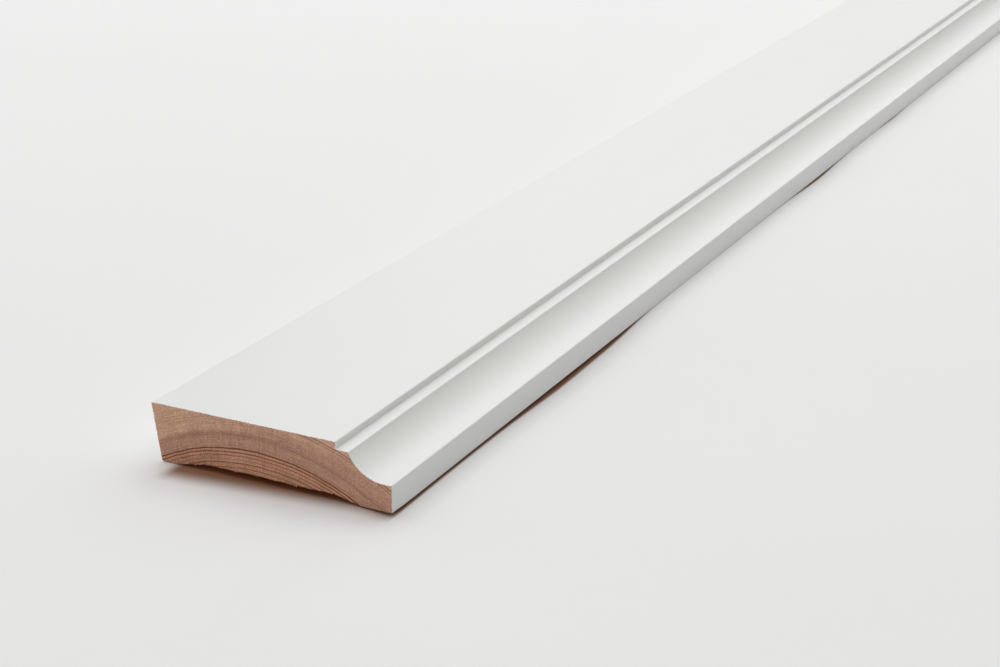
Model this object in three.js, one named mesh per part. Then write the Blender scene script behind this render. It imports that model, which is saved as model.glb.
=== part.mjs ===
// Skirting board: one length of milled softwood, lying on its back, face up.
// Millimetres. X runs across the board, from the undercut floor edge to the moulded top edge.
// Y runs along its length. Z is up, out of the face. The origin is the middle of the underside.
import * as THREE from 'three';

// Driving dimensions
const boardWidth = 92;
const boardThickness = 21;
const boardLength = 1000;
const floorEdgeUndercut = 8; // degrees off square, so that the face alone meets the floor
const flatFaceWidth = 71.5;
const stepDepth = 2.65;
const coveRadius = 14;
const lipLandWidth = 3;
const lipHeight = 9.85;
const floorEdgeLandWidth = 6.5; // back lands: the two strips that lie against the wall
const topEdgeLandWidth = 10.5;
const reliefDepth = 2.65;
const reliefRampWidth = 11;
const reliefRounding = 8; // radius where the relief's ramps run into the lands and its flat top
const faceArrisRadius = 0.4;
const backArrisRadius = 0.25;
const riserFootRadius = 0.3;
const chordTolerance = 0.008; // how far a straight facet may stand off a true curve
const paintedWood = { color: 0xe7e7e3, roughness: 0.45, metalness: 0 };

const degrees = THREE.MathUtils.degToRad;
const halfWidth = boardWidth / 2;
// The rounded arris is the board's widest point, so its sharp corner would stand a little outside.
const sharpOverhang = faceArrisRadius * (Math.tan(degrees(45 + floorEdgeUndercut / 2)) - 1);
const faceCornerX = -halfWidth - sharpOverhang;
const backOfFloorEdge = faceCornerX + boardThickness * Math.tan(degrees(floorEdgeUndercut));

// Points on an arc, with its facets as long as the chord tolerance lets them be.
function arcPoints(centre, radius, startAngle, endAngle) {
  const widestStep = 2 * Math.acos(1 - chordTolerance / radius);
  const steps = Math.ceil(Math.abs(endAngle - startAngle) / widestStep);
  return Array.from({ length: steps + 1 }, (_, i) => {
    const angle = startAngle + ((endAngle - startAngle) * i) / steps;
    return new THREE.Vector2(
      centre.x + radius * Math.cos(angle),
      centre.y + radius * Math.sin(angle),
    );
  });
}

// The arc of a given radius that rounds a corner between two straight runs.
function roundedCorner(before, corner, after, radius) {
  const back = before.clone().sub(corner).normalize();
  const ahead = after.clone().sub(corner).normalize();
  const halfAngle = Math.acos(back.dot(ahead)) / 2;
  const towardsCentre = back.clone().add(ahead).normalize();
  const centre = corner.clone().addScaledVector(towardsCentre, radius / Math.sin(halfAngle));
  const reach = radius / Math.tan(halfAngle);
  const first = corner.clone().addScaledVector(back, reach).sub(centre);
  const last = corner.clone().addScaledVector(ahead, reach).sub(centre);
  const turn = Math.atan2(first.cross(last), first.dot(last));
  return arcPoints(centre, radius, first.angle(), first.angle() + turn);
}

// The moulded section, seen looking along +Y, anticlockwise from the back of the floor edge.
function boardSection() {
  const reliefStart = backOfFloorEdge + floorEdgeLandWidth;
  const reliefEnd = halfWidth - topEdgeLandWidth;
  const riserX = -halfWidth + flatFaceWidth;
  const filletZ = boardThickness - stepDepth;

  const coveCentre = new THREE.Vector2(halfWidth - lipLandWidth, lipHeight + coveRadius);
  const coveStartAngle = degrees(270);
  const coveEndAngle = degrees(180) + Math.asin((coveCentre.y - filletZ) / coveRadius);
  const cove = arcPoints(coveCentre, coveRadius, coveStartAngle, coveEndAngle);
  const filletArris = cove.pop();

  const backFloorCorner = new THREE.Vector2(backOfFloorEdge, 0);
  const leftRampFoot = new THREE.Vector2(reliefStart, 0);
  const leftRampTop = new THREE.Vector2(reliefStart + reliefRampWidth, reliefDepth);
  const rightRampTop = new THREE.Vector2(reliefEnd - reliefRampWidth, reliefDepth);
  const rightRampFoot = new THREE.Vector2(reliefEnd, 0);
  const backTopCorner = new THREE.Vector2(halfWidth, 0);
  const lipCorner = new THREE.Vector2(halfWidth, lipHeight);
  const riserFoot = new THREE.Vector2(riserX, filletZ);
  const stepArris = new THREE.Vector2(riserX, boardThickness);
  const faceArris = new THREE.Vector2(faceCornerX, boardThickness);

  return [
    ...roundedCorner(faceArris, backFloorCorner, leftRampFoot, backArrisRadius),
    ...roundedCorner(backFloorCorner, leftRampFoot, leftRampTop, reliefRounding),
    ...roundedCorner(leftRampFoot, leftRampTop, rightRampTop, reliefRounding),
    ...roundedCorner(leftRampTop, rightRampTop, rightRampFoot, reliefRounding),
    ...roundedCorner(rightRampTop, rightRampFoot, backTopCorner, reliefRounding),
    ...roundedCorner(rightRampFoot, backTopCorner, lipCorner, backArrisRadius),
    ...roundedCorner(backTopCorner, lipCorner, cove[0], faceArrisRadius),
    ...cove,
    ...roundedCorner(cove.at(-1), filletArris, riserFoot, faceArrisRadius),
    ...roundedCorner(filletArris, riserFoot, stepArris, riserFootRadius),
    ...roundedCorner(riserFoot, stepArris, faceArris, faceArrisRadius),
    ...roundedCorner(stepArris, faceArris, backFloorCorner, faceArrisRadius),
  ];
}

function makeBoard() {
  const shape = new THREE.Shape(boardSection());
  const geometry = new THREE.ExtrudeGeometry(shape, {
    depth: boardLength,
    steps: 1,
    bevelEnabled: false,
  });
  geometry.rotateX(Math.PI / 2);
  geometry.translate(0, boardLength / 2, 0);
  const board = new THREE.Mesh(geometry, new THREE.MeshStandardMaterial(paintedWood));
  board.name = 'skirting_board';
  return board;
}

const part = new THREE.Group();
part.add(makeBoard());

export default part;
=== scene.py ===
"""Skirting board: a length of painted, moulded pine that lies on its back on a pale studio floor.

X runs across the board, from the undercut floor edge to the moulded top edge. Y runs along it, away
from the sawn end that shows, and Z is up, out of its face. The frame gives the board's box. Sizes
here are in millimetres, and the meshes are made in metres.
"""

import logging
import math
from collections.abc import Iterable
from dataclasses import dataclass, field
from enum import Enum, IntEnum
from typing import Any, Union

import bpy
import numpy as np
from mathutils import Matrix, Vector, noise
from mathutils.geometry import delaunay_2d_cdt


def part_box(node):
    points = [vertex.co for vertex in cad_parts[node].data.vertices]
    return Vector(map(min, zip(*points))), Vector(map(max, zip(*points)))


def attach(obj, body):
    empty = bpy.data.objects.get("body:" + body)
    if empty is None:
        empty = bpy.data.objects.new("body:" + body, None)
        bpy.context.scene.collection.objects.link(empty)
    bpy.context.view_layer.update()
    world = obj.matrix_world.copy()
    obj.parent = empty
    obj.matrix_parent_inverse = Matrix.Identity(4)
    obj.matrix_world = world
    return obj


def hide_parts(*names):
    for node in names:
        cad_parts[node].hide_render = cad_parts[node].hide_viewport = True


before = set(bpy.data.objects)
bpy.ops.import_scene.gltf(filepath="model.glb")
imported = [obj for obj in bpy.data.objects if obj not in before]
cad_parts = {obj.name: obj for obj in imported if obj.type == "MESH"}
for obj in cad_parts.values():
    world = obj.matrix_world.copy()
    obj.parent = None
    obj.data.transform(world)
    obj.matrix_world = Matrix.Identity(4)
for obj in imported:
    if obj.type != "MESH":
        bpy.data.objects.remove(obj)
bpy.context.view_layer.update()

log = logging.getLogger("skirting_board")

NODE = "skirting_board"
PIECE = "painted_board"
BODY = "root"
METRES = 0.001  # one millimetre in Blender's unit
COLOUR_A, COLOUR_B, COLOUR_OUT = 6, 7, 2  # a colour Mix node's own sockets
NOISE_MIDDLE = 0.5  # what a Noise node gives on average
MAP_MIDDLE = 0.5  # the middle of the bake map
ROW_HEIGHT = math.sqrt(0.75)  # of a row of equilateral triangles with sides of 1
KEEP_INSIDE = 1  # leaves out triangles outside the outline
MERGE_DISTANCE = 1e-7

Colour = tuple[float, float, float, float]
Triple = tuple[float, float, float]
Pair = tuple[float, float]


# Shader maths
class Signal:
    """One value in a material's nodes, which takes part in Python arithmetic."""

    def __init__(self, graph: "MaterialGraph", socket: bpy.types.NodeSocket) -> None:
        """Wraps an output socket of the graph."""
        self.graph = graph
        self.socket = socket

    def __add__(self, other: "Value") -> "Signal":
        """self + other."""
        return self.graph.maths("ADD", self, other)

    def __radd__(self, other: "Value") -> "Signal":
        """other + self."""
        return self.graph.maths("ADD", other, self)

    def __sub__(self, other: "Value") -> "Signal":
        """self - other."""
        return self.graph.maths("SUBTRACT", self, other)

    def __rsub__(self, other: "Value") -> "Signal":
        """other - self."""
        return self.graph.maths("SUBTRACT", other, self)

    def __mul__(self, other: "Value") -> "Signal":
        """self * other."""
        return self.graph.maths("MULTIPLY", self, other)

    def __rmul__(self, other: "Value") -> "Signal":
        """other * self."""
        return self.graph.maths("MULTIPLY", other, self)


Value = Union[Signal, np.ndarray, float]


def sine(angle: Value) -> Value:
    """Sine of an angle in radians, of a signal or of plain numbers."""
    return angle.graph.maths("SINE", angle) if isinstance(angle, Signal) else np.sin(angle)


def square_root(value: Value) -> Value:
    """Square root of a signal or of plain numbers."""
    return value.graph.maths("SQRT", value) if isinstance(value, Signal) else np.sqrt(value)


def smooth_step(value: Value, low: float, high: float) -> Value:
    """A rise from 0 to 1 that starts and ends level.

    Args:
        value: What the rise follows, a signal or plain numbers.
        low: Where it is still 0.
        high: Where it has reached 1.

    Returns:
        The rise, of the same kind as the value.
    """
    if isinstance(value, Signal):
        sockets = {"Value": value, "From Min": low, "From Max": high}
        return value.graph.result("ShaderNodeMapRange", {"interpolation_type": "SMOOTHSTEP"}, sockets)
    share = np.clip((value - low) / (high - low), 0.0, 1.0)
    return share * share * (3.0 - 2.0 * share)


@dataclass(frozen=True)
class Grain:
    """A soft, uneven pattern in a material."""

    lumps: Triple  # how many to a millimetre, in each direction
    octaves: float = 2.0  # finer lumps on top of the first
    rough: float = 0.5  # how strong the finer ones are
    tone: float = 0.0  # how much it lightens and darkens the colour
    relief: float = 0.0  # how much it raises and sinks the surface


class MaterialGraph:
    """A material and the nodes in it."""

    def __init__(self, name: str) -> None:
        """Makes a material with an empty node tree.

        Args:
            name: The material's name.
        """
        self.material = bpy.data.materials.new(name)
        self.material.use_nodes = True
        self.tree = self.material.node_tree
        self.tree.nodes.clear()

    def node(self, kind: str, settings: dict[str, Any], sockets: dict[Any, Any]) -> bpy.types.Node:
        """Adds one node.

        Args:
            kind: Blender's name for the type of node.
            settings: What is set on the node itself, before its sockets.
            sockets: Values or signals, by the input's name or number.

        Returns:
            The node.
        """
        node = self.tree.nodes.new(kind)
        for name, value in settings.items():
            setattr(node, name, value)
        for name, value in sockets.items():
            if isinstance(value, Signal):
                self.tree.links.new(value.socket, node.inputs[name])
            else:
                node.inputs[name].default_value = value
        return node

    def result(
        self, kind: str, settings: dict[str, Any], sockets: dict[Any, Any], output: "int | str" = 0
    ) -> Signal:
        """What comes out of a new node, by the output's name or number."""
        return Signal(self, self.node(kind, settings, sockets).outputs[output])

    def maths(self, operation: str, *values: Value) -> Signal:
        """The result of a Math node on one, two or three values."""
        return self.result("ShaderNodeMath", {"operation": operation}, dict(enumerate(values)))

    def position(self) -> Signal:
        """The point on the object, in millimetres."""
        return self.stretch(self.result("ShaderNodeTexCoord", {}, {}, "Object"), (1.0 / METRES,) * 3)

    def stretch(self, vector: Signal, scale: Triple) -> Signal:
        """The vector with each part multiplied by its own number."""
        return self.result("ShaderNodeVectorMath", {"operation": "MULTIPLY"}, {0: vector, 1: scale})

    def parts(self, vector: Signal) -> tuple[Signal, Signal, Signal]:
        """The vector's X, Y and Z."""
        x, y, z = (self.result("ShaderNodeSeparateXYZ", {}, {0: vector}, axis) for axis in "XYZ")
        return x, y, z

    def pattern(self, vector: Signal, grain: Grain) -> Signal:
        """A grain's noise where the vector says, less than 0.5 either way of 0."""
        sockets = {"Scale": 1.0, "Detail": grain.octaves, "Roughness": grain.rough}
        sockets["Vector"] = self.stretch(vector, grain.lumps)
        return self.result("ShaderNodeTexNoise", {}, sockets) - NOISE_MIDDLE

    def blend(self, share: Value, first: "Signal | Colour", second: "Signal | Colour") -> Signal:
        """A colour that goes from the first to the second as the share goes from 0 to 1."""
        sockets = {0: share, COLOUR_A: first, COLOUR_B: second}
        return self.result("ShaderNodeMix", {"data_type": "RGBA"}, sockets, COLOUR_OUT)

    def brighten(self, colour: Signal, factor: Signal) -> Signal:
        """The colour times a factor."""
        return self.result("ShaderNodeVectorMath", {"operation": "SCALE"}, {0: colour, "Scale": factor})

    def finish(
        self, colour: Signal, roughness: Value, height: Signal, gloss: float, glow: "Signal | None" = None
    ) -> bpy.types.Material:
        """Sets the surface.

        Args:
            colour: Base colour.
            roughness: Roughness.
            height: Height of the fine relief, in millimetres.
            gloss: Specular level, the same all over.
            glow: Colour of its own light, if it gives any.

        Returns:
            The finished material.
        """
        bump = self.result("ShaderNodeBump", {}, {"Strength": 1.0, "Distance": METRES, "Height": height})
        sockets = {"Base Color": colour, "Roughness": roughness, "Specular IOR Level": gloss, "Normal": bump}
        if glow is not None:
            sockets.update({"Emission Color": glow, "Emission Strength": 1.0})
        surface = self.result("ShaderNodeBsdfPrincipled", {}, sockets)
        self.node("ShaderNodeOutputMaterial", {}, {0: surface})
        return self.material


# Growth rings
@dataclass(frozen=True)
class Wave:
    """A gentle wave in the wood."""

    height: float
    turn: float  # radians for each millimetre
    start: float = 0.0

    def at(self, place: Value, shift: Value = 0.0) -> Value:
        """How far it stands out at a place, when it is shifted by some radians."""
        return self.height * sine(place * self.turn + (shift + self.start))


@dataclass(frozen=True)
class Ring:
    """The dark latewood that ends one year's growth."""

    radius: float
    left: float  # how dark it is on the floor-edge side, from 0 to 1
    right: float  # and on the top-edge side
    rise: float = 0.5  # width over which it darkens, towards the bark
    fall: float = 0.16  # width over which it breaks off


@dataclass(frozen=True)
class GrowthRings:
    """The tree's rings about a pith that lies below the board's back."""

    pith_x: float = -5.7
    pith_z: float = -65.0
    near_end: float = -500.0
    wander_across: tuple[Wave, ...] = (Wave(1.6, 0.0093), Wave(0.7, 0.031))  # the pith's, along the board
    wander_up: tuple[Wave, ...] = (Wave(1.1, 0.0071), Wave(0.4, 0.027))
    flattening: float = 0.00028  # how fast the rings draw out of round to either side
    waver: Wave = Wave(0.06, 0.33, 0.9)
    ripple: Wave = Wave(0.04, 0.91)
    ripple_shift: float = 0.25  # radians for each millimetre up
    tight_band: float = 76.3  # outside radius of the narrow rings
    dip: Wave = Wave(0.17, 0.112, -math.pi / 2.0)  # the narrow rings dip in the middle
    dip_end: Pair = (75.2, 76.0)
    side_change: Pair = (-6.0, 16.0)  # where a ring goes from its left to its right darkness
    rings: tuple[Ring, ...] = (
        Ring(65.30, 0.56, 0.56),
        Ring(66.60, 0.42, 0.42),
        Ring(67.90, 0.62, 0.62),
        Ring(69.40, 0.60, 0.60, 0.40, 0.30),
        Ring(71.08, 0.76, 0.80, 0.45, 0.35),
        Ring(72.30, 0.40, 0.52, 0.40, 0.35),
        Ring(73.65, 0.66, 0.72, 0.40, 0.32),
        Ring(74.88, 1.00, 1.05, 0.40, 0.32),
        Ring(76.03, 1.15, 1.15, 0.36, 0.50),
        Ring(77.00, 0.12, 0.26, 0.30, 0.30),
        Ring(80.55, 0.00, 0.55, 0.22, 0.20),
        Ring(81.20, 0.30, 0.12, 1.90, 1.60),
        Ring(84.60, 0.12, 0.00),
        Ring(85.30, 0.16, 0.05),
        Ring(86.10, 0.20, 0.00),
        Ring(87.00, 0.24, 0.08, 0.40, 0.30),
        Ring(87.60, 0.10, 0.60, 0.35, 0.30),
        Ring(88.10, 0.20, 0.00, 0.40, 0.30),
        Ring(88.50, 0.00, 0.95, 0.35, 0.30),
    )

    def radius(self, x: Value, y: Value, z: Value) -> Value:
        """Distance from the pith, as the rings run.

        Args:
            x: Place across the board.
            y: Place along it.
            z: Height above its back.

        Returns:
            The radius, of the same kind as the place.
        """
        along = y - self.near_end
        across = x - self.pith_x
        for wave in self.wander_across:
            across = across - wave.at(along)
        up = z - self.pith_z
        for wave in self.wander_up:
            up = up - wave.at(along)
        waver = self.waver.at(x) + self.ripple.at(x, z * self.ripple_shift)
        radius = square_root(across * across + up * up) - self.flattening * across * across + waver
        return radius - (1.0 - smooth_step(radius, *self.dip_end)) * self.dip.at(across)

    def latewood(self, x: Value, radius: Value) -> Value:
        """How dark the wood is, from 0 in pale earlywood to 1 in the darkest line.

        Args:
            x: Place across the board.
            radius: Distance from the pith.

        Returns:
            The darkness, of the same kind as the place.
        """
        to_right = smooth_step(x, *self.side_change)
        darkness = radius * 0.0
        for ring in self.rings:
            depth = ring.left
            if ring.right != ring.left:
                depth = ring.left + (ring.right - ring.left) * to_right
            rise = smooth_step(radius, ring.radius - ring.rise, ring.radius)
            fall = smooth_step(radius, ring.radius, ring.radius + ring.fall)
            darkness = darkness + depth * rise * (1.0 - fall)
        return darkness


# Finishes
@dataclass(frozen=True)
class SawnEndGrain:
    """The bare ends, left as the saw cut them."""

    rings: GrowthRings
    earlywood: Colour = (0.545, 0.310, 0.206, 1.0)
    rosy_earlywood: Colour = (0.535, 0.287, 0.220, 1.0)
    tight_earlywood: Colour = (0.62, 0.318, 0.202, 1.0)
    pale_zone: Colour = (0.685, 0.416, 0.284, 1.0)
    latewood: Colour = (0.15, 0.042, 0.016, 1.0)
    fleck: Colour = (0.88, 0.56, 0.39, 1.0)
    gloss: float = 0.25
    roughness: float = 0.85
    # Grains whose lumps run round the pith, along the board and outwards
    rays: Grain = Grain((1.6, 0.1, 0.16), tone=0.14)
    dashes: Grain = Grain((0.8, 0.1, 3.0), tone=0.2)
    threads: Grain = Grain((0.09, 0.1, 3.2), 1.0, tone=0.7)
    speckle: Grain = Grain((1.7, 0.5, 2.9), 1.0, tone=1.15, relief=0.08)
    # Grains whose lumps run across the board, along it and up
    saw_marks: Grain = Grain((0.8, 0.1, 0.08), 1.0, tone=0.16, relief=0.06)
    mottle: Grain = Grain((0.22, 0.22, 0.22), 3.0, tone=0.30)
    patches: Grain = Grain((0.45, 0.45, 0.45), 1.0)
    grit: Grain = Grain((2.6, 2.6, 2.6), 2.0, 0.6, tone=0.5, relief=0.10)
    patch_edge: Pair = (-0.14, 0.14)  # where rosy wood turns to brown
    band_edge: float = 0.5
    band_dashes: float = 0.24  # how much stronger the dashes are among the narrow rings
    pale_edge: Pair = (82.0, 86.4)
    pale_slant: float = 0.075
    pale_raggedness: float = 5.0
    line_depth: float = 0.95
    line_breaks: float = 0.7  # how much the dashes break up the dark lines
    line_speckle: float = 0.6
    line_relief: float = 0.03
    fleck_edge: Pair = (0.075, 0.165)
    fleck_depth: float = 0.55
    band_flecks: float = 0.25
    line_flecks: float = 0.6  # how far the dark lines keep flecks off
    fleck_loss: float = 0.55  # how many fewer flecks there are to the right
    fleck_loss_edge: Pair = (-24.0, 4.0)
    rayed_from: Pair = (-26.0, -12.0)
    rayed_to: Pair = (2.0, 12.0)
    rayed: float = 0.5  # how much stronger the rays are there
    lighter: float = 0.1  # how much lighter the wood is to the right
    lighter_edge: Pair = (8.0, 40.0)

    def material(self) -> bpy.types.Material:
        """Builds the nodes.

        Returns:
            The material.
        """
        graph = MaterialGraph("sawn_end_grain")
        point = graph.position()
        x, y, z = graph.parts(point)
        radius = self.rings.radius(x, y, z)
        late = self.rings.latewood(x, radius)
        tight = self.rings.tight_band
        band = 1.0 - smooth_step(radius, tight, tight + self.band_edge)

        arc = graph.maths("ARCTAN2", x - self.rings.pith_x, z - self.rings.pith_z) * tight
        polar = graph.result("ShaderNodeCombineXYZ", {}, {0: arc, 1: y, 2: radius})
        rays, dashes, threads, speckle = (
            graph.pattern(polar, grain) for grain in (self.rays, self.dashes, self.threads, self.speckle)
        )
        saw_marks, mottle, patches, grit = (
            graph.pattern(point, grain) for grain in (self.saw_marks, self.mottle, self.patches, self.grit)
        )

        colour = graph.blend(smooth_step(patches, *self.patch_edge), self.rosy_earlywood, self.earlywood)
        colour = graph.blend(band, colour, self.tight_earlywood)
        pale = radius - self.pale_slant * x + mottle * self.pale_raggedness
        colour = graph.blend(smooth_step(pale, *self.pale_edge), colour, self.pale_zone)
        line = late * (self.line_depth + dashes * self.line_breaks + speckle * self.line_speckle)
        colour = graph.blend(graph.maths("MINIMUM", line, 1.0), colour, self.latewood)
        flecks = smooth_step(grit, *self.fleck_edge) * (self.fleck_depth + self.band_flecks * band)
        flecks = flecks * (1.0 - self.fleck_loss * smooth_step(x, *self.fleck_loss_edge))
        colour = graph.blend(flecks * (1.0 - self.line_flecks * late), colour, self.fleck)

        rayed = smooth_step(x, *self.rayed_from) * (1.0 - smooth_step(x, *self.rayed_to))
        tone = 1.0 + mottle * self.mottle.tone + rays * (self.rays.tone + self.rayed * rayed)
        tone = tone + saw_marks * self.saw_marks.tone + threads * self.threads.tone
        tone = tone + dashes * (self.dashes.tone + self.band_dashes * band)
        tone = tone + grit * self.grit.tone + speckle * self.speckle.tone
        tone = tone + self.lighter * smooth_step(x, *self.lighter_edge)
        height = late * self.line_relief + grit * self.grit.relief
        height = height + saw_marks * self.saw_marks.relief + speckle * self.speckle.relief
        return graph.finish(graph.brighten(colour, tone), self.roughness, height, self.gloss)


@dataclass(frozen=True)
class PlanedBack:
    """The bare back, planed along the grain, with paint carried over its outer arrises."""

    rings: GrowthRings
    half_width: float
    earlywood: Colour = (0.60, 0.35, 0.20, 1.0)
    latewood: Colour = (0.34, 0.15, 0.065, 1.0)
    paint: Colour = (0.84, 0.84, 0.82, 1.0)
    gloss: float = 0.3
    roughness: float = 0.62
    paint_smoothness: float = 0.15  # how much smoother the paint is
    fibre: Grain = Grain((5.0, 0.12, 5.0), 3.0, 0.6, tone=0.30, relief=0.03)
    streak: Grain = Grain((0.6, 0.012, 0.6), tone=0.24)
    spray_edge: Grain = Grain((0.6, 0.21, 0.6), 3.0)
    spray_reach: float = 0.84
    spray_raggedness: float = 2.8
    spray_softness: Pair = (-0.15, 0.15)
    line_depth: float = 0.8
    line_relief: float = 0.012
    knife: Wave = Wave(0.004, math.tau / 1.7, 1.5)  # the planer's marks
    knife_shift: float = 3.0  # how far the streaks shift them, in radians

    def material(self) -> bpy.types.Material:
        """Builds the nodes.

        Returns:
            The material.
        """
        graph = MaterialGraph("planed_back")
        point = graph.position()
        x, y, z = graph.parts(point)
        late = self.rings.latewood(x, self.rings.radius(x, y, z))
        fibre = graph.pattern(point, self.fibre)
        streak = graph.pattern(point, self.streak)

        line = graph.maths("MINIMUM", late * self.line_depth, 1.0)
        colour = graph.blend(line, self.earlywood, self.latewood)
        colour = graph.brighten(colour, 1.0 + fibre * self.fibre.tone + streak * self.streak.tone)
        to_edge = self.half_width - graph.maths("ABSOLUTE", x)
        reach = self.spray_reach + graph.pattern(point, self.spray_edge) * self.spray_raggedness
        painted = smooth_step(reach - to_edge, *self.spray_softness)
        colour = graph.blend(painted, colour, self.paint)
        height = fibre * self.fibre.relief + late * self.line_relief
        height = height + self.knife.at(y, streak * self.knife_shift)
        return graph.finish(colour, self.roughness - self.paint_smoothness * painted, height, self.gloss)


@dataclass(frozen=True)
class SatinPaint:
    """White satin paint, sprayed on the face, the mouldings and both long edges."""

    half_length: float
    colour: Colour = (0.845, 0.845, 0.828, 1.0)
    shade: Colour = (0.825, 0.83, 0.815, 1.0)
    speck: Colour = (0.36, 0.31, 0.27, 1.0)
    bare_wood: Colour = (0.56, 0.34, 0.23, 1.0)
    gloss: float = 0.5
    roughness: float = 0.40
    drift: Grain = Grain((0.05, 0.006, 0.05), 3.0)
    drift_roughness: float = 0.12
    peel: Grain = Grain((0.55, 0.385, 0.55), relief=0.006)
    peel_roughness: float = 0.08
    raised_grain: Grain = Grain((2.2, 0.03, 2.2), relief=0.004)
    dust: Grain = Grain((1.1, 1.1, 1.1), 0.0)
    dust_edge: Pair = (0.400, 0.418)
    dust_depth: float = 0.6
    chips: Grain = Grain((2.2, 2.2, 2.2), relief=0.02)
    chip_reach: float = 0.1344  # how far chips run in from a sawn end
    chip_raggedness: float = 1.68
    chip_edge: Pair = (-0.05, 0.05)
    chip_roughness: float = 0.3

    def material(self) -> bpy.types.Material:
        """Builds the nodes.

        Returns:
            The material.
        """
        graph = MaterialGraph("satin_white_paint")
        point = graph.position()
        _, y, _ = graph.parts(point)
        drift, peel, raised, dust, chips = (
            graph.pattern(point, grain)
            for grain in (self.drift, self.peel, self.raised_grain, self.dust, self.chips)
        )

        colour = graph.blend(drift + NOISE_MIDDLE, self.shade, self.colour)
        colour = graph.blend(smooth_step(dust, *self.dust_edge) * self.dust_depth, colour, self.speck)
        to_end = self.half_length - graph.maths("ABSOLUTE", y)
        reach = self.chip_reach + chips * self.chip_raggedness
        chipped = smooth_step(reach - to_end, *self.chip_edge)
        colour = graph.blend(chipped, colour, self.bare_wood)
        roughness = self.roughness + drift * self.drift_roughness + peel * self.peel_roughness
        roughness = roughness + self.chip_roughness * chipped
        height = peel * self.peel.relief + raised * self.raised_grain.relief
        return graph.finish(colour, roughness, height - chipped * self.chips.relief, self.gloss)


# The board
class Finish(IntEnum):
    """What covers a face of the board, in the order of its material slots."""

    PAINT = 0
    BACK = 1
    END = 2


class Cut(Enum):
    """Which of the board's two sawn ends."""

    NEAR = -1
    FAR = 1


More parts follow.
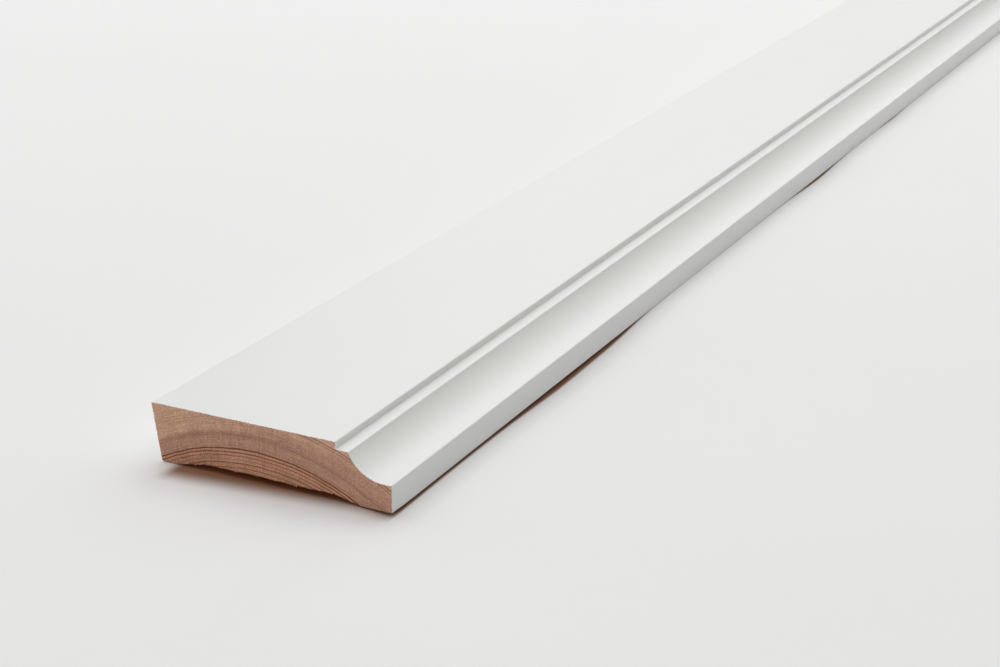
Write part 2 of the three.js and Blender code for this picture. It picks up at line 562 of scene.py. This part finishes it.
@dataclass(frozen=True)
class BoardSection:
    """The moulded section, seen looking along +Y."""

    half_width: float
    thickness: float
    undercut: float = math.radians(8.0)
    flat_face_width: float = 71.5
    step_depth: float = 2.65
    cove_radius: float = 14.0
    lip_land_width: float = 3.0
    lip_height: float = 9.85
    floor_edge_land: float = 6.5
    top_edge_land: float = 10.5
    relief_depth: float = 2.65
    ramp_width: float = 11.0
    relief_rounding: float = 8.0
    face_arris: float = 0.4
    back_arris: float = 0.25
    riser_foot: float = 0.3
    arris_steps: int = 6
    curve_step: float = 0.4  # distance between the cove's points
    back_spacing: float = 0.24  # widest distance between points on the back
    painted_spacing: float = 0.6  # and on the painted sides

    @staticmethod
    def arc(centre: Vector, radius: float, start: float, end: float, steps: int) -> list[Vector]:
        """Points on an arc, both ends included."""
        angles = np.linspace(start, end, steps + 1)
        return [centre + radius * Vector((math.cos(angle), math.sin(angle))) for angle in angles]

    def rounded(self, run: list[Vector], *radii: float) -> list[Vector]:
        """The arcs that round the corners of a run of straight lines.

        Args:
            run: A point before the first corner, the sharp corners and a point after the last.
            radii: The radius at each corner.

        Returns:
            The arcs' points, in the run's order.
        """
        points: list[Vector] = []
        for before, corner, after, radius in zip(run, run[1:], run[2:], radii):
            back = (before - corner).normalized()
            ahead = (after - corner).normalized()
            half_angle = math.acos(max(-1.0, min(1.0, back.dot(ahead)))) / 2.0
            centre = corner + (back + ahead).normalized() * (radius / math.sin(half_angle))
            reach = radius / math.tan(half_angle)
            first = corner + back * reach - centre
            last = corner + ahead * reach - centre
            start = math.atan2(first.y, first.x)
            turn = math.atan2(first.x * last.y - first.y * last.x, first.dot(last))
            points += self.arc(centre, radius, start, start + turn, self.arris_steps)
        return points

    def stretches(self) -> list[tuple[Finish, list[Vector]]]:
        """The outline in two stretches, anticlockwise from the back of the floor edge.

        Returns:
            The finish and the points of each stretch.
        """
        # The rounded arris is the widest point, so its sharp corner would stand a little outside
        overhang = self.face_arris * (math.tan(math.radians(45.0) + self.undercut / 2.0) - 1.0)
        face_x = -self.half_width - overhang
        relief_start = face_x + self.thickness * math.tan(self.undercut) + self.floor_edge_land
        relief_end = self.half_width - self.top_edge_land
        riser_x = -self.half_width + self.flat_face_width
        fillet_z = self.thickness - self.step_depth
        cove_centre = Vector((self.half_width - self.lip_land_width, self.lip_height + self.cove_radius))
        cove_start = math.radians(270.0)
        cove_end = math.pi + math.asin((cove_centre.y - fillet_z) / self.cove_radius)
        cove_steps = math.ceil(self.cove_radius * (cove_start - cove_end) / self.curve_step)
        cove = self.arc(cove_centre, self.cove_radius, cove_start, cove_end, cove_steps)
        fillet_arris = cove.pop()

        back_floor = Vector((relief_start - self.floor_edge_land, 0.0))
        left_foot = Vector((relief_start, 0.0))
        left_top = Vector((relief_start + self.ramp_width, self.relief_depth))
        right_top = Vector((relief_end - self.ramp_width, self.relief_depth))
        right_foot = Vector((relief_end, 0.0))
        back_top = Vector((self.half_width, 0.0))
        lip = Vector((self.half_width, self.lip_height))
        foot = Vector((riser_x, fillet_z))
        step = Vector((riser_x, self.thickness))
        face = Vector((face_x, self.thickness))

        arris = self.face_arris
        floor_arris = self.rounded([face, back_floor, left_foot], self.back_arris)
        top_arris = self.rounded([right_foot, back_top, lip], self.back_arris)
        relief = [back_floor, left_foot, left_top, right_top, right_foot, back_top]
        moulding = [cove[-1], fillet_arris, foot, step, face, back_floor]
        bare = floor_arris[-1:] + self.rounded(relief, *(self.relief_rounding,) * 4) + top_arris[:1]
        painted = top_arris + self.rounded([back_top, lip, cove[0]], arris) + cove
        painted += self.rounded(moulding, arris, self.riser_foot, arris, arris) + floor_arris
        return [(Finish.BACK, bare), (Finish.PAINT, painted)]

    def outline(self) -> tuple[np.ndarray, list[Finish]]:
        """The whole outline, with points close enough together for the sawn ends' detail.

        Returns:
            The points, and what covers the run from each point to the next.
        """
        points: list[Vector] = []
        covers: list[Finish] = []
        spacing = {Finish.BACK: self.back_spacing, Finish.PAINT: self.painted_spacing}
        for cover, stretch in self.stretches():
            for start, end in zip(stretch, stretch[1:]):
                pieces = max(1, math.ceil((end - start).length / spacing[cover]))
                points += [start.lerp(end, index / pieces) for index in range(pieces)]
                covers += [cover] * pieces
        return np.array([tuple(point) for point in points]), covers


@dataclass(frozen=True)
class Lumps:
    """How fine a layer of unevenness is."""

    across: float  # lumps to a millimetre across the board
    other: float  # and up it, or in from its end
    apart: float = 0.0  # keeps the layer unlike others


@dataclass(frozen=True)
class SawCut:
    """What the saw leaves: a slightly rough end, a broken lower arris and fibres torn over the relief."""

    rings: GrowthRings
    half_width: float
    cut: Cut
    seed: int
    spacing: float  # between the points inside the end
    map_floor: float  # where the end's back lies on the bake map
    clearance: float = 0.015  # keeps the roughest point inside the board's length
    chatter: float = 0.035  # depth of the blade's regular marks
    chatter_pitch: float = 5.2
    chatter_slant: float = 0.16
    earlywood_sink: float = 0.05  # how far the soft wood lies behind the hard lines
    pluck: float = 0.13  # depth of the torn-out spots
    pluck_edge: float = 0.12
    pluck_lumps: Lumps = Lumps(1.9, 1.9)
    fuzz: float = 0.03
    fuzz_lumps: Lumps = Lumps(3.7, 3.7)
    fray: float = 0.95  # how far torn fibres hang
    fray_reach: float = 2.6  # and how far in from the end
    fray_fade: float = 1.6
    least_fray: float = 0.02
    teeth: float = 1.3
    coarse_share: float = 0.6
    coarse_teeth: Lumps = Lumps(1.3, 0.4, 3.0)
    fine_teeth: Lumps = Lumps(2.3, 0.5, 5.0)
    bend: float = 0.35
    bends: Lumps = Lumps(0.5, 1.0, 7.0)
    tufts: Lumps = Lumps(0.17, 0.0, 9.0)
    tuft_mean: float = 0.7
    tuft_swing: float = 1.1
    least_tuft: float = 0.15
    floor_gap: float = 0.05
    room_used: float = 0.5  # share of the room under the relief that fibres may fill
    worn: float = 0.4  # how much of the lower arris is broken away
    worn_reach: float = 1.4
    worn_room: float = 2.4  # height over which the break dies out
    worn_fade: float = 1.5
    worn_raggedness: float = 0.5
    worn_lumps: Lumps = Lumps(0.9, 0.9)
    corner_reach: float = 10.0  # how far it runs along the lip
    corner_width: float = 1.2

    def rough(self, x: float, other: float, lumps: Lumps) -> float:
        """Noise between about -1 and 1 at a place on or near the end."""
        return noise.noise(Vector((x * lumps.across, self.seed + lumps.apart, other * lumps.other)))

    def depths(self, points: np.ndarray) -> np.ndarray:
        """How far the end lies inside its square plane.

        Args:
            points: Places on the end, across and up.

        Returns:
            One depth for each place.
        """
        x, z = points[:, 0], points[:, 1]
        y = self.cut.value * -self.rings.near_end
        late = self.rings.latewood(x, self.rings.radius(x, y, z))
        turns = (x + self.chatter_slant * z) * math.tau / self.chatter_pitch
        chatter = 0.5 + 0.5 * np.sin(turns + self.seed)
        torn = np.array([max(0.0, self.rough(a, b, self.pluck_lumps) - self.pluck_edge) for a, b in points])
        fuzz = np.array([0.5 + 0.5 * self.rough(a, b, self.fuzz_lumps) for a, b in points])
        depth = self.clearance + self.chatter * chatter + self.earlywood_sink * (1.0 - np.clip(late, 0, 1))
        return depth + self.pluck * torn + self.fuzz * fuzz

    def hang(self, x: float, z: float, inwards: float) -> float:
        """How far torn fibres hang below the relief, at a place on the back near the end.

        Args:
            x: Place across the board.
            z: Height of the back there, which is the room that the fibres have.
            inwards: Distance from the end.

        Returns:
            The drop, never more than the room.
        """
        if inwards > self.fray_reach:
            return 0.0
        bent = x + self.bend * inwards * self.rough(x, inwards, self.bends)
        teeth = self.coarse_share * abs(self.rough(bent, inwards, self.coarse_teeth))
        teeth += max(0.0, self.rough(bent, inwards, self.fine_teeth))
        tuft = max(self.least_tuft, self.tuft_mean + self.tuft_swing * self.rough(x, inwards, self.tufts))
        fade = (1.0 - inwards / self.fray_reach) ** self.fray_fade
        drop = self.fray * fade * (self.least_fray + self.teeth * teeth) * tuft
        return min(drop, max(0.0, z - self.floor_gap) * self.room_used)

    def wear(self, x: float, z: float, inwards: float) -> float:
        """How far the broken arris stands above the whole one, at a place near the end.

        Args:
            x: Place across the board.
            z: Height there while the arris is whole.
            inwards: Distance from the end.

        Returns:
            The rise.
        """
        at_lip = smooth_step(x, self.half_width - self.corner_width, self.half_width)
        reach = self.worn_reach + (self.corner_reach - self.worn_reach) * at_lip
        if z >= self.worn_room or inwards >= reach:
            return 0.0
        share = (1.0 - inwards / reach) ** self.worn_fade * (1.0 - z / self.worn_room)
        return self.worn * share * (1.0 + self.worn_raggedness * self.rough(x, z, self.worn_lumps))


def smooth_mesh(name: str, points: Iterable[Triple], faces: list[tuple[int, ...]]) -> bpy.types.Mesh:
    """Makes a mesh with smooth shading.

    Args:
        name: Its name.
        points: Its points, in millimetres.
        faces: The points round each face.

    Returns:
        The mesh, in metres.
    """
    mesh = bpy.data.meshes.new(name)
    mesh.from_pydata([tuple(part * METRES for part in point) for point in points], [], faces)
    mesh.polygons.foreach_set("use_smooth", [True] * len(faces))
    return mesh


def add_object(name: str, data: bpy.types.ID) -> bpy.types.Object:
    """Puts a mesh, a light or a camera in the scene.

    Args:
        name: The object's name.
        data: The mesh, light or camera.

    Returns:
        The object.
    """
    thing = bpy.data.objects.new(name, data)
    bpy.context.scene.collection.objects.link(thing)
    return thing


@dataclass
class Board:
    """The board's one piece of wood, from its section, its length and its two sawn ends."""

    section: BoardSection
    half_length: float
    cuts: dict[Cut, SawCut]
    paint_film: float = 0.12
    film_raggedness: float = 0.6
    film_lumps: Lumps = Lumps(1.3, 1.3)
    end_stations: tuple[float, ...] = (0.0, 0.25, 0.6, 1.1, 1.8, 2.8, 4.5, 8.0, 14.0, 22.0)
    middle_stations: int = 62
    jitter: float = 0.22  # how far inner points are out of line, in spacings
    margin: float = 0.55  # how far they keep from the outline, in spacings
    smooth_angle: float = math.radians(32.0)
    map_scale: float = 0.0106  # the bake map's units to a millimetre of end grain
    map_sides: float = 0.534  # the share of the map that the long surfaces take
    points: list[Triple] = field(default_factory=list)
    faces: list[tuple[int, ...]] = field(default_factory=list)
    uvs: list[tuple[Pair, ...]] = field(default_factory=list)
    finishes: list[Finish] = field(default_factory=list)

    def add_face(self, corners: tuple[int, ...], uv: tuple[Pair, ...], finish: Finish) -> None:
        """Keeps a face.

        Args:
            corners: The points round it.
            uv: Their places on the bake map.
            finish: What covers it.
        """
        self.faces.append(corners)
        self.uvs.append(uv)
        self.finishes.append(finish)

    def stations(self) -> list[float]:
        """Places along the board where the section is repeated.

        Returns:
            The places, closer together near the ends.
        """
        near = [-self.half_length + step for step in self.end_stations]
        middle = np.linspace(near[-1], -near[-1], self.middle_stations + 2)[1:-1]
        return near + list(middle) + [-place for place in reversed(near)]

    def flat_places(self, corners: list[int]) -> np.ndarray:
        """Where points lie in the section, across and up."""
        return np.array([(self.points[corner][0], self.points[corner][2]) for corner in corners])

    def make_sides(self, outline: np.ndarray, covers: list[Finish]) -> dict[Cut, list[int]]:
        """Adds the long surfaces.

        Args:
            outline: The section's points.
            covers: What covers the run after each point.

        Returns:
            The points round each end.
        """
        count = len(outline)
        depths = {cut: saw.depths(outline) for cut, saw in self.cuts.items()}
        stations = self.stations()
        for y in stations:
            cut = Cut.NEAR if y < 0.0 else Cut.FAR
            saw = self.cuts[cut]
            inwards = self.half_length - abs(y)
            for index, (x, z) in enumerate(outline):
                all_bare = covers[index] is covers[index - 1] is Finish.BACK
                drop = saw.hang(x, z, inwards) if all_bare else 0.0
                inset = depths[cut][index] if inwards == 0.0 else 0.0
                height = z + saw.wear(x, z, inwards) - drop
                self.points.append((x, y - cut.value * inset, height))
        steps = np.linalg.norm(np.roll(outline, -1, axis=0) - outline, axis=1)
        around = np.concatenate([[0.0], np.cumsum(steps)])
        around *= self.map_sides / around[-1]
        lengthways = [MAP_MIDDLE + y / self.half_length / 2.0 for y in stations]
        for row, (u0, u1) in enumerate(zip(lengthways, lengthways[1:])):
            here, there = row * count, (row + 1) * count
            for index in range(count):
                after = (index + 1) % count
                corners = (here + index, there + index, there + after, here + after)
                v0, v1 = around[index], around[index + 1]
                self.add_face(corners, ((u0, v0), (u1, v0), (u1, v1), (u0, v1)), covers[index])
        last = len(self.points)
        return {Cut.NEAR: list(range(count)), Cut.FAR: list(range(last - count, last))}

    def inner_points(self, outline: np.ndarray, saw: SawCut) -> np.ndarray:
        """Points spread over the inside of an end, a little out of line.

        Args:
            outline: The end's outline.
            saw: The end's own cut.

        Returns:
            The points that lie inside, clear of the outline.
        """
        draws = np.random.default_rng(saw.seed)
        spacing = saw.spacing
        low, high = outline.min(axis=0), outline.max(axis=0)
        rows = np.arange(low[1], high[1], spacing * ROW_HEIGHT)
        lines = [np.arange(low[0] + (row % 2) * spacing / 2.0, high[0], spacing) for row in range(len(rows))]
        grid = np.concatenate([np.stack([xs, np.full_like(xs, z)], 1) for xs, z in zip(lines, rows)])
        grid += draws.uniform(-self.jitter, self.jitter, grid.shape) * spacing
        inside = np.zeros(len(grid), bool)
        gap = np.full(len(grid), np.inf)
        for start, end in zip(outline, np.roll(outline, -1, axis=0)):
            run = end - start
            rel = grid - start
            share = np.clip(rel @ run / (run @ run), 0.0, 1.0)
            gap = np.minimum(gap, np.linalg.norm(rel - share[:, None] * run, axis=1))
            spans = (start[1] > grid[:, 1]) != (end[1] > grid[:, 1])
            if run[1] != 0.0:
                crossing = start[0] + (grid[:, 1] - start[1]) * run[0] / run[1]
                inside ^= spans & (grid[:, 0] < crossing)
        return grid[inside & (gap > spacing * self.margin)]

    def film_edge(self, rim: list[int], saw: SawCut, covers: list[Finish]) -> list[int]:
        """Adds the inner edge of the paint film at one sawn end.

        Args:
            rim: The points round the end.
            saw: What the saw leaves there.
            covers: What covers the run after each of them.

        Returns:
            The points round the end grain, which are the rim's own where the wood is bare.
        """
        edge = self.flat_places(rim)
        along = np.roll(edge, -1, axis=0) - np.roll(edge, 1, axis=0)
        inwards = np.stack([-along[:, 1], along[:, 0]], 1) / np.linalg.norm(along, axis=1)[:, None]
        loop = []
        for index, corner in enumerate(rim):
            if covers[index] is Finish.BACK or covers[index - 1] is Finish.BACK:
                loop.append(corner)
                continue
            film = 1.0 + self.film_raggedness * saw.rough(*edge[index], self.film_lumps)
            x, z = edge[index] + inwards[index] * (self.paint_film * film)
            loop.append(len(self.points))
            self.points.append((x, 0.0, z))
        return loop

    def add_end_face(self, corners: tuple[int, ...], saw: SawCut, finish: Finish) -> None:
        """Adds one face of a sawn end, turned outwards.

        Args:
            corners: The points round it, as seen on the near end.
            saw: The end's own cut.
            finish: What covers it.
        """
        corners = corners[:: -saw.cut.value]
        places = self.flat_places(list(corners)) * self.map_scale
        uv = tuple((MAP_MIDDLE + u, saw.map_floor + v) for u, v in places)
        self.add_face(corners, uv, finish)

    def make_end(self, rim: list[int], saw: SawCut, covers: list[Finish]) -> None:
        """Adds one sawn end: the paint film's cut edge, and the end grain inside it.

        Args:
            rim: The points round the end.
            saw: What the saw leaves there.
            covers: What covers the run after each of them.
        """
        count = len(rim)
        loop = self.film_edge(rim, saw, covers)
        ring = self.flat_places(loop)
        inner = self.inner_points(ring, saw)
        flat = [Vector(point) for point in np.concatenate([ring, inner])]
        result = delaunay_2d_cdt(flat, [], [list(range(count))], KEEP_INSIDE, MERGE_DISTANCE)
        triangles, origins = result[2], result[3]

        corner_of = loop + list(range(len(self.points), len(self.points) + len(inner)))
        self.points += [(x, 0.0, z) for x, z in inner]
        placed = set(rim)
        new = [corner for corner in corner_of if corner not in placed]
        for corner, depth in zip(new, saw.depths(self.flat_places(new))):
            x, _, z = self.points[corner]
            self.points[corner] = (x, saw.cut.value * (self.half_length - depth), z)

        for index in range(count):
            after = (index + 1) % count
            corners = tuple(dict.fromkeys((rim[index], rim[after], loop[after], loop[index])))
            if covers[index] is Finish.PAINT and len(corners) > 2:
                self.add_end_face(corners, saw, Finish.PAINT)
        for triangle in triangles:
            corners = tuple(corner_of[origins[vertex][0]] for vertex in triangle)
            self.add_end_face(corners, saw, Finish.END)

    def build(self, materials: dict[Finish, bpy.types.Material]) -> bpy.types.Object:
        """Makes the board.

        Args:
            materials: The material of each finish.

        Returns:
            The board, with its bake map.
        """
        outline, covers = self.section.outline()
        rims = self.make_sides(outline, covers)
        for cut, saw in self.cuts.items():
            self.make_end(rims[cut], saw, covers)

        mesh = smooth_mesh(PIECE, self.points, self.faces)
        for finish in Finish:
            mesh.materials.append(materials[finish])
        mesh.polygons.foreach_set("material_index", self.finishes)
        bake_map = mesh.uv_layers.new(name="OFBake")
        bake_map.data.foreach_set("uv", [part for face in self.uvs for place in face for part in place])
        mesh.update()
        mesh.set_sharp_from_angle(angle=self.smooth_angle)
        log.info("%s: %d points, %d faces", PIECE, len(self.points), len(self.faces))
        return add_object(PIECE, mesh)


# The studio
@dataclass(frozen=True)
class SoftBox:
    """A square, soft studio light. Its places are in metres."""

    name: str
    place: Triple
    side: float
    power: float
    colour: Triple = (1.0, 1.0, 1.0)
    aim: Triple = (0.0, -0.2, 0.0)

    def hang(self) -> None:
        """Puts the light in the scene, turned towards its aim."""
        light = bpy.data.lights.new(self.name, "AREA")
        light.shape = "SQUARE"
        light.size = self.side
        light.energy = self.power
        light.color = self.colour
        lamp = add_object(self.name, light)
        lamp.location = self.place
        lamp.rotation_euler = (Vector(self.aim) - Vector(self.place)).to_track_quat("-Z", "Y").to_euler()
        log.info("%s: %.0f W", self.name, self.power)


@dataclass(frozen=True)
class Sag:
    """A place along the lip where the floor sheet lies a little lower. Sizes are in millimetres."""

    place: float
    reach: float
    depth: float


@dataclass(frozen=True)
class FloorSheet:
    """The pale sheet that the board lies on. Sizes are in millimetres."""

    side: float = 24000.0
    close_x: Triple = (-200.0, 400.0, 4.0)  # from, to and step of its close points
    close_y: Triple = (-800.0, 800.0, 12.0)
    tone: Colour = (0.835, 0.835, 0.835, 1.0)
    gloss: float = 0.2
    roughness: float = 0.75
    mottle: Grain = Grain((0.004, 0.004, 0.004), tone=0.02)
    tooth: Grain = Grain((0.8, 0.8, 0.8), relief=0.01)
    drop: float = 0.03  # how far the sheet lies below the board
    sags: tuple[Sag, ...] = (
        Sag(-512.0, 58.0, 1.12),
        Sag(-440.0, 40.0, 0.5),
        Sag(-373.0, 45.0, 1.8),
        Sag(-325.0, 26.0, 0.8),
        Sag(-76.0, 34.0, 1.0),
        Sag(52.0, 22.0, 0.45),
    )
    sag_from: Pair = (31.0, 47.0)  # the sags start under the lip
    sag_to: Pair = (90.0, 360.0)  # and run out beside it
    # Painted shadow: the sheet is coloured dark brown under the board and a little way round it, so the
    # shade there looks darker and browner than the lamps alone make it.
    shadow_under_board: Colour = (0.50, 0.17, 0.06, 1.0)
    shadow_at_edge: Colour = (0.29, 0.16, 0.10, 1.0)
    shade_left: Pair = (-40.0, -34.0)  # where the brown comes in, from the floor edge
    shade_right: Pair = (45.0, 46.2)  # where it goes out again, beside the lip
    shade_spread: float = 0.75  # how much farther out it goes for each millimetre of sag
    shade_near: Pair = (-510.0, -499.0)  # where it comes in, in front of the near end
    shade_slant: float = 0.11  # how much nearer the end it comes in for each millimetre towards the lip
    shade_far: Pair = (485.0, 495.0)  # and goes out, just short of the far end
    redder_shade_near: Pair = (-503.0, -494.0)  # where it turns a redder brown, under the board
    greyer_shade_right: Pair = (38.0, 45.0)  # and turns greyer again, towards the lip
    distance: Pair = (900.0, 2000.0)  # where the sheet runs into the bright background
    distant_glow: Colour = (0.80, 0.80, 0.80, 1.0)
    black: Colour = (0.0, 0.0, 0.0, 1.0)

    def depth(self, x: float, y: float) -> float:
        """How far the sheet lies below the board's back.

        Args:
            x: Place across the board.
            y: Place along it.

        Returns:
            The depth.
        """
        share = smooth_step(x, *self.sag_from) * (1.0 - smooth_step(x, *self.sag_to))
        sag = sum(sag.depth * math.exp(-(((y - sag.place) / sag.reach) ** 2)) for sag in self.sags)
        return self.drop + sag * share

    def material(self) -> bpy.types.Material:
        """Builds the nodes: a pale sheet with painted shadow, in the wood's brown, under the board and a
        little way round it.

        Returns:
            The material.
        """
        graph = MaterialGraph("pale_floor")
        point = graph.position()
        x, y, z = graph.parts(point)
        # Painted shadow: a mask for the dark brown under the board, reaching out in front of the near end
        # and, where the sheet sags, beside the lip.
        painted_shade = smooth_step(x, *self.shade_left) * smooth_step(y - x * self.shade_slant, *self.shade_near)
        painted_shade = painted_shade * (1.0 - smooth_step(x + z * self.shade_spread, *self.shade_right))
        painted_shade = painted_shade * (1.0 - smooth_step(y, *self.shade_far))
        redder_shade = smooth_step(y, *self.redder_shade_near) * (1.0 - smooth_step(x, *self.greyer_shade_right))
        shade_colour = graph.blend(redder_shade, self.shadow_at_edge, self.shadow_under_board)
        colour = graph.blend(painted_shade, self.tone, shade_colour)
        colour = graph.brighten(colour, 1.0 + graph.pattern(point, self.mottle) * self.mottle.tone)
        distant = smooth_step(square_root(x * x + y * y), *self.distance)
        colour = graph.blend(distant, colour, self.black)
        glow = graph.blend(distant, self.black, self.distant_glow)
        height = graph.pattern(point, self.tooth) * self.tooth.relief
        return graph.finish(colour, self.roughness, height, self.gloss, glow)

    def lay(self) -> None:
        """Lays the sheet, with its points close together round the board."""
        half = self.side / 2.0
        xs, ys = (
            [-half, *np.arange(start, end + 1.0, step), half]
            for start, end, step in (self.close_x, self.close_y)
        )
        wide = len(xs)
        starts = [row * wide + column for row in range(len(ys) - 1) for column in range(wide - 1)]
        points = [(x, y, -self.depth(x, y)) for y in ys for x in xs]
        mesh = smooth_mesh("pale_floor", points, [(i, i + 1, i + wide + 1, i + wide) for i in starts])
        mesh.materials.append(self.material())
        add_object("pale_floor", mesh)
        log.info("pale_floor: %d points", len(points))


@dataclass(frozen=True)
class Studio:
    """The pale floor, the soft light and the camera. Places are in metres."""

    floor: FloorSheet = FloorSheet()
    sky: Colour = (1.0, 1.0, 1.0, 1.0)
    sky_light: float = 0.03
    backdrop: float = 0.80  # how bright the sky looks where it shows behind the floor
    boxes: tuple[SoftBox, ...] = (
        SoftBox("overhead_softbox", (0.0, 0.0, 2.5), 4.0, 56.0),
        SoftBox("left_softbox", (-2.4, 0.0, 1.7), 2.6, 31.0),
        SoftBox("far_softbox", (-0.6, 2.4, 1.7), 2.6, 20.0),
        SoftBox("far_top_softbox", (-0.3, 1.5, 2.2), 1.6, 7.0),
        SoftBox("far_right_softbox", (1.6, 2.6, 1.5), 2.0, 18.0, (1.0, 0.98, 0.94)),
        SoftBox("near_softbox", (0.4, -2.9, 1.7), 2.6, 20.0, (1.0, 0.985, 0.95)),
    )
    lens: float = 70.0
    sensor_width: float = 36.0
    nearest: float = 0.02  # the camera sees nothing closer than this
    eye: Triple = (0.3285, -0.97885, 0.2743)
    tilt: float = math.radians(69.02)
    turn: float = math.radians(27.007)

    def light(self) -> None:
        """Sets the even light from all round and hangs the soft boxes."""
        world = bpy.data.worlds.new("pale_studio")
        world.use_nodes = True
        nodes, links = world.node_tree.nodes, world.node_tree.links
        background = nodes["Background"]
        background.inputs["Color"].default_value = self.sky
        strength = nodes.new("ShaderNodeMix")
        strength.inputs["A"].default_value = self.sky_light
        strength.inputs["B"].default_value = self.backdrop
        links.new(nodes.new("ShaderNodeLightPath").outputs["Is Camera Ray"], strength.inputs["Factor"])
        links.new(strength.outputs["Result"], background.inputs["Strength"])
        bpy.context.scene.world = world
        for box in self.boxes:
            box.hang()

    def place_camera(self) -> None:
        """Stands the camera where the board is seen from its sawn end and its top edge."""
        lens = bpy.data.cameras.new("studio_camera")
        lens.lens = self.lens
        lens.sensor_width = self.sensor_width
        lens.clip_start = self.nearest
        camera = add_object("studio_camera", lens)
        camera.location = self.eye
        camera.rotation_euler = (self.tilt, 0.0, self.turn)
        bpy.context.scene.camera = camera
        bpy.context.scene.view_settings.view_transform = "Standard"

    def set_up(self) -> None:
        """Lays the floor, sets the lights and stands the camera."""
        self.floor.lay()
        self.light()
        self.place_camera()


def main() -> None:
    """Builds the board and the studio."""
    logging.basicConfig(level=logging.INFO, format="%(message)s")
    low, high = (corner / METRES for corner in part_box(NODE))
    half_length = (high.y - low.y) / 2.0
    section = BoardSection(half_width=high.x, thickness=high.z)
    rings = GrowthRings(near_end=-half_length)
    materials = {
        Finish.PAINT: SatinPaint(half_length).material(),
        Finish.BACK: PlanedBack(rings, section.half_width).material(),
        Finish.END: SawnEndGrain(rings).material(),
    }
    cuts = {
        Cut.NEAR: SawCut(rings, high.x, Cut.NEAR, seed=11, spacing=0.31, map_floor=0.772),
        Cut.FAR: SawCut(rings, high.x, Cut.FAR, seed=47, spacing=0.5, map_floor=0.542),
    }
    board = Board(section, half_length, cuts).build(materials)
    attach(board, BODY)
    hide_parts(NODE)
    Studio().set_up()


if __name__ == "__main__":
    main()
